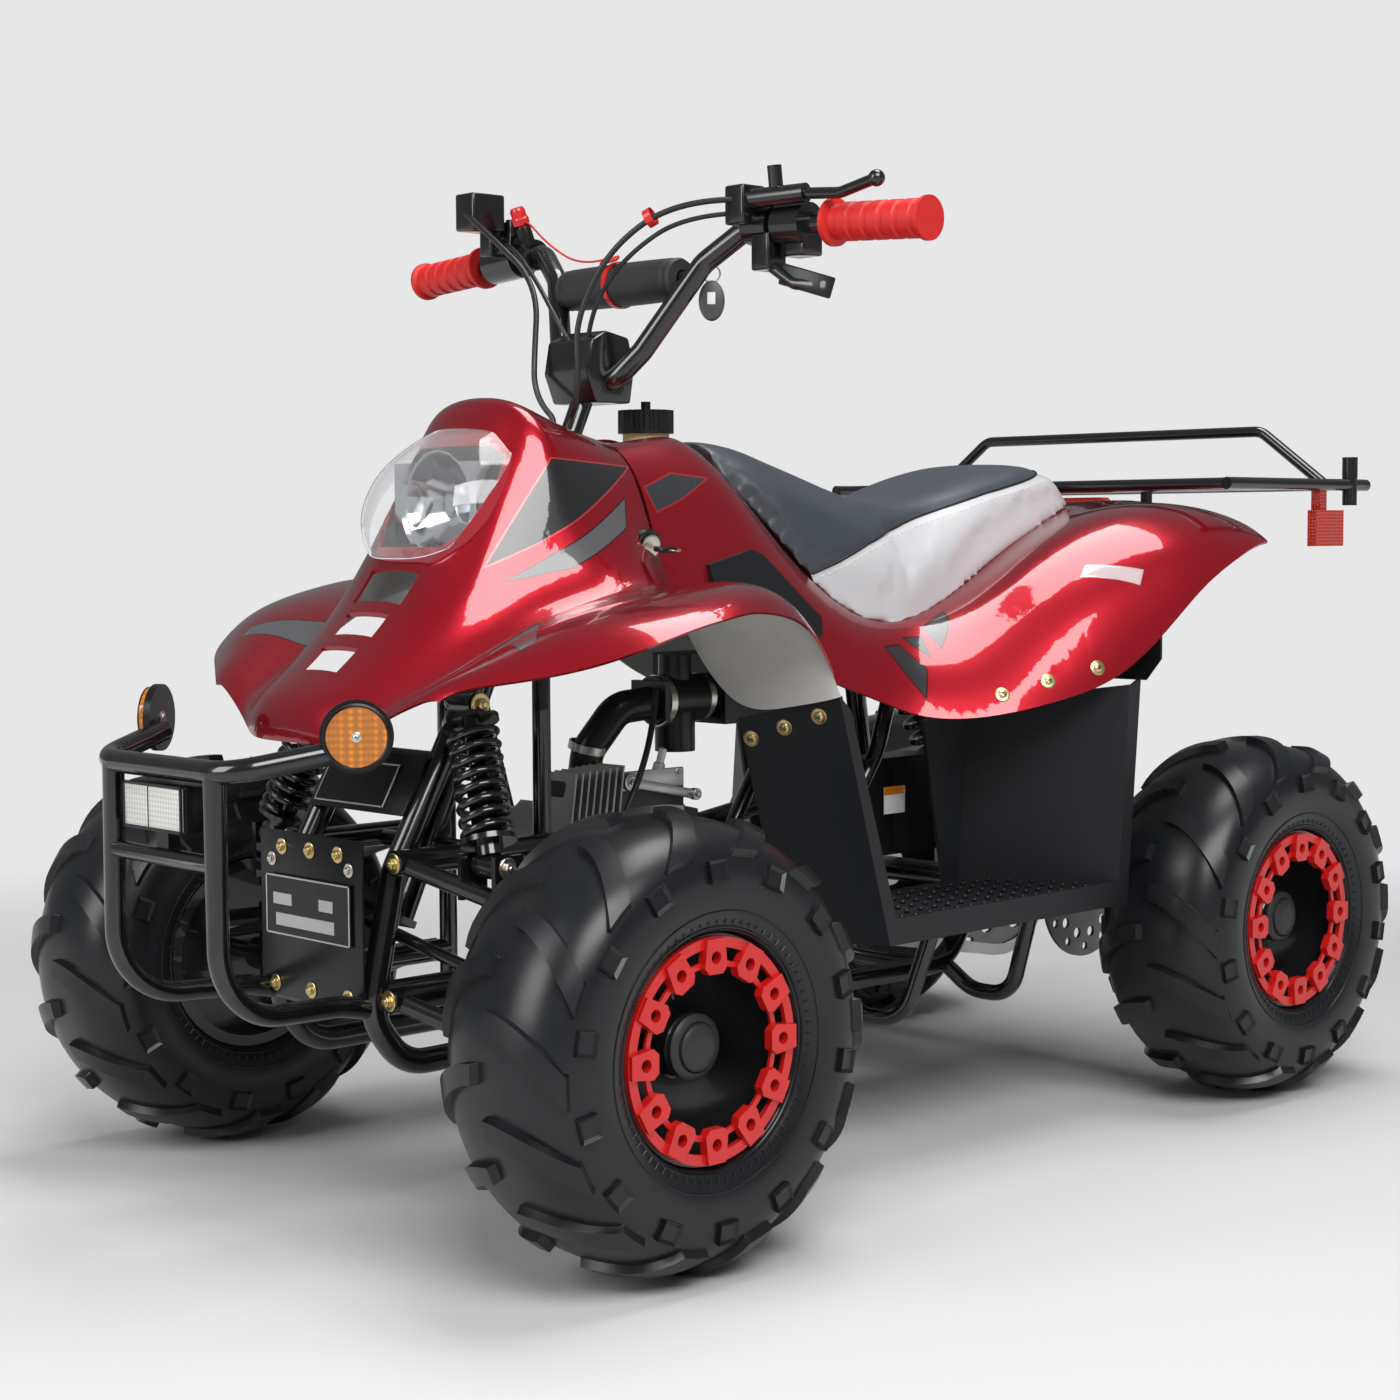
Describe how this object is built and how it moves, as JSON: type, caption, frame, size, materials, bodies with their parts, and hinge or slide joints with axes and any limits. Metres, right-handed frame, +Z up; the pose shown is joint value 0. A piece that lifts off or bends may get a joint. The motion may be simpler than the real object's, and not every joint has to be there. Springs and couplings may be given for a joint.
{
  "type": "quad bike",
  "caption": "Small quad bike with moulded body, padded seat, tube frame and rack, balloon tyres on dished rims with a raised ring, steering through stem, tie rods and knuckles.",
  "frame": {"origin": "on the floor under the middle of the overall length", "axes": "+X forward, +Y to the rider's left, +Z up"},
  "size_m": [1.486, 0.852, 1.006],
  "materials": {
    "red": "gloss",
    "black_frame": "gloss",
    "black_plastic": "satin",
    "grey_plastic": "satin",
    "tan_plastic": "satin",
    "seat": "satin",
    "clear": "gloss",
    "lamp_bowl": "gloss",
    "amber": "gloss",
    "red_lens": "gloss",
    "alloy": "cast",
    "engine": "cast",
    "steel": "satin",
    "black_rubber": "matt",
    "tyre": "matt",
    "rim": "gloss",
    "ring": "gloss",
    "grip": "matt"
  },
  "bodies": {
    "chassis": {"frame_sides": "black_frame", "frame_crossbars": "black_frame", "front_bumper": "black_frame", "front_body": "red", "rear_body": "red", "bumper_lamp": "black_plastic", "front_plate": "alloy", "front_reflectors": "amber", "headlamp_lens": "clear", "headlamp_housing": "lamp_bowl", "fuel_tank": "tan_plastic", "fuel_cap": "black_plastic", "seat": "seat", "knee_panels": "grey_plastic", "footwells": "grey_plastic", "engine": "engine", "intake": "black_rubber", "battery_box": "black_plastic", "exhaust": "black_frame", "upper_arms": "black_frame", "lower_arms": "black_frame", "front_shocks": "black_frame", "front_springs": "black_frame", "swingarm": "black_frame", "rear_shock": "black_frame", "rear_spring": "black_frame", "rear_rack": "black_frame", "tail_light": "red_lens", "rear_reflectors": "red_lens", "chain": "steel", "mud_flaps": "black_rubber", "key_switch": "black_plastic"},
    "steering": {"steering_stem": "black_frame", "handlebar": "black_frame", "bar_clamp": "black_plastic", "bar_pad": "black_plastic", "grips": "grip", "hand_controls": "black_plastic", "control_cables": "black_rubber"},
    "knuckle_left": {"knuckle_left": "black_frame"},
    "knuckle_right": {"knuckle_right": "black_frame"},
    "tie_rod_left": {"tie_rod_left": "black_frame"},
    "tie_rod_right": {"tie_rod_right": "black_frame"},
    "wheel_front_left": {"tyre_front_left": "tyre", "rim_front_left": "rim", "ring_front_left": "ring"},
    "wheel_front_right": {"tyre_front_right": "tyre", "rim_front_right": "rim", "ring_front_right": "ring"},
    "rear_axle": {"rear_axle": "steel", "brake_disc": "steel", "sprocket": "steel", "rear_tyres": "tyre", "rear_rims": "rim", "rear_rings": "ring"}
  },
  "joints": [
    {"name": "steer", "type": "hinge", "parent": "chassis", "child": "steering", "pos_m": [0.32035, 0, 0.6], "axis": [-0.4226, 0, 0.9063], "range_deg": [-35, 35]},
    {"name": "knuckle_left_turn", "type": "hinge", "parent": "chassis", "child": "knuckle_left", "pos_m": [0.457, 0.245, 0.203], "axis": [0, 0, 1], "range_deg": [-35, 35]},
    {"name": "knuckle_right_turn", "type": "hinge", "parent": "chassis", "child": "knuckle_right", "pos_m": [0.457, -0.245, 0.203], "axis": [0, 0, 1], "range_deg": [-35, 35]},
    {"name": "tie_rod_left_swing", "type": "hinge", "parent": "steering", "child": "tie_rod_left", "pos_m": [0.53444, 0.01, 0.28286], "axis": [-0.4226, 0, 0.9063], "range_deg": [-35, 35]},
    {"name": "tie_rod_right_swing", "type": "hinge", "parent": "steering", "child": "tie_rod_right", "pos_m": [0.53444, -0.01, 0.28286], "axis": [-0.4226, 0, 0.9063], "range_deg": [-35, 35]},
    {"name": "front_left_spin", "type": "hinge", "parent": "knuckle_left", "child": "wheel_front_left", "pos_m": [0.457, 0.345, 0.203], "axis": [0, 1, 0], "continuous": true},
    {"name": "front_right_spin", "type": "hinge", "parent": "knuckle_right", "child": "wheel_front_right", "pos_m": [0.457, -0.345, 0.203], "axis": [0, 1, 0], "continuous": true},
    {"name": "rear_axle_spin", "type": "hinge", "parent": "chassis", "child": "rear_axle", "pos_m": [-0.493, 0, 0.203], "axis": [0, 1, 0], "continuous": true}
  ],
  "couplings": [
    {"joint": "knuckle_left_turn", "follows": "steer", "ratio": 1},
    {"joint": "knuckle_right_turn", "follows": "steer", "ratio": 1},
    {"joint": "tie_rod_left_swing", "follows": "steer", "ratio": -1},
    {"joint": "tie_rod_right_swing", "follows": "steer", "ratio": -1}
  ]
}
